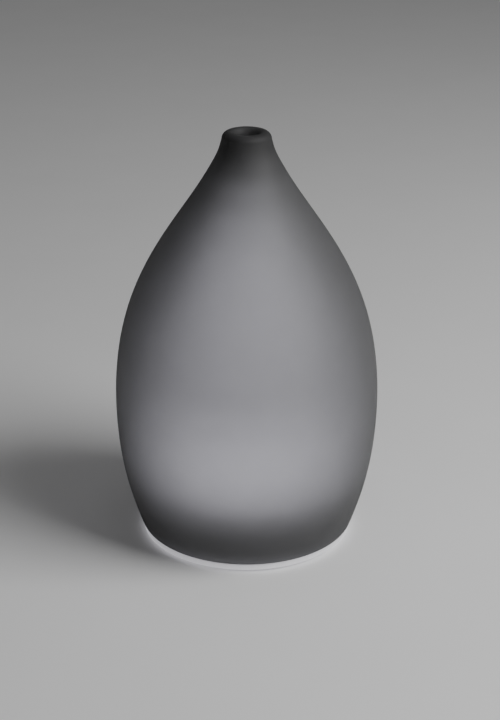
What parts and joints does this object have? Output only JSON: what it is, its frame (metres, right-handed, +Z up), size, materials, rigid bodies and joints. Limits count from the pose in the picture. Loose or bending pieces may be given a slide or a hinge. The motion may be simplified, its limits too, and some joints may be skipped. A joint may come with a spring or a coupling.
{
  "type": "cool mist humidifier",
  "caption": "Tabletop ultrasonic cool mist humidifier: a teardrop frosted glass shade over an opal mist dome, a round water tank and a lit base with rear controls.",
  "frame": {"origin": "middle of the footprint, on the surface that the feet stand on", "axes": "+Z up through the mist outlet, -Y to the front, +Y to the back with the power inlet and buttons, +X to the right seen from the front"},
  "size_m": [0.1072, 0.1071, 0.17],
  "materials": {
    "smoked_glass": "satin frosted blown glass",
    "opal_plastic": "opal, lets the light through",
    "white_plastic": "fine moulded",
    "panel_plastic": "fine moulded, dark grey",
    "button_plastic": "smooth moulded",
    "silicone": "soft translucent silicone",
    "foot_rubber": "soft, matte",
    "screw_steel": "zinc plated",
    "pressed_steel": "pressed stainless",
    "disc_metal": "thin polished metal face",
    "fan_plastic": "glass-filled, black",
    "bronze": "sintered, oiled",
    "copper_wire": "enamelled copper",
    "magnet": "bonded ferrite",
    "shaft_steel": "ground",
    "duct_plastic": "moulded, dark",
    "circuit_board": "green solder mask",
    "led_package": "white package with clear window",
    "black_plastic": "moulded epoxy",
    "heat_sink_aluminium": "plain extruded",
    "ferrite": "sintered ferrite",
    "can_aluminium": "sleeved can",
    "connector_plastic": "natural nylon",
    "wire_sleeve": "PVC insulated",
    "nickel_pin": "nickel plated"
  },
  "bodies": {
    "base": {"light_ring": "opal_plastic", "bottom_cover": "white_plastic", "base_housing": "white_plastic", "control_panel": "panel_plastic", "rubber_feet": "foot_rubber", "cover_screws": "screw_steel", "water_tank": "white_plastic", "tank_gasket": "silicone", "tank_screws": "screw_steel", "atomiser_seal": "silicone", "atomiser_disc": "disc_metal", "atomiser_clamp": "pressed_steel", "atomiser_clamp_screws": "screw_steel", "fan_frame": "fan_plastic", "fan_bearing": "bronze", "stator_coils": "copper_wire", "air_duct": "duct_plastic", "fan_screws": "screw_steel", "led_board": "circuit_board", "leds": "led_package", "led_board_screws": "screw_steel", "control_board": "circuit_board", "board_screws": "screw_steel", "dc_jack": "black_plastic", "jack_pin": "nickel_pin", "mist_switch": "black_plastic", "light_switch": "black_plastic", "microcontroller": "black_plastic", "drive_transistor": "black_plastic", "heat_sink": "heat_sink_aluminium", "tuning_coil": "ferrite", "capacitors": "can_aluminium", "wire_connectors": "connector_plastic", "fan_leads": "wire_sleeve", "led_leads": "wire_sleeve", "atomiser_leads": "wire_sleeve"},
    "mist_dome": {"mist_dome": "opal_plastic"},
    "glass_shade": {"glass_shade": "smoked_glass"},
    "fan_rotor": {"fan_impeller": "fan_plastic", "rotor_magnet": "magnet", "fan_shaft": "shaft_steel"},
    "mist_button": {"mist_button": "button_plastic", "mist_plunger": "black_plastic"},
    "light_button": {"light_button": "button_plastic", "light_plunger": "black_plastic"}
  },
  "joints": [
    {"name": "dome_lift", "type": "slide", "parent": "base", "child": "mist_dome", "axis": [0, 0, 1], "range_m": [0, 0.06]},
    {"name": "shade_lift", "type": "slide", "parent": "mist_dome", "child": "glass_shade", "axis": [0, 0, 1], "range_m": [0, 0.18]},
    {"name": "fan_spin", "type": "hinge", "parent": "base", "child": "fan_rotor", "pos_m": [0, -0.0225, 0.01], "axis": [0, 0, 1], "continuous": true},
    {"name": "mist_button_press", "type": "slide", "parent": "base", "child": "mist_button", "axis": [-0.2773, -0.9608, 0], "range_m": [0, 0.0006], "stiffness_N_per_m": 2500},
    {"name": "light_button_press", "type": "slide", "parent": "base", "child": "light_button", "axis": [0.2773, -0.9608, 0], "range_m": [0, 0.0006], "stiffness_N_per_m": 2500}
  ]
}
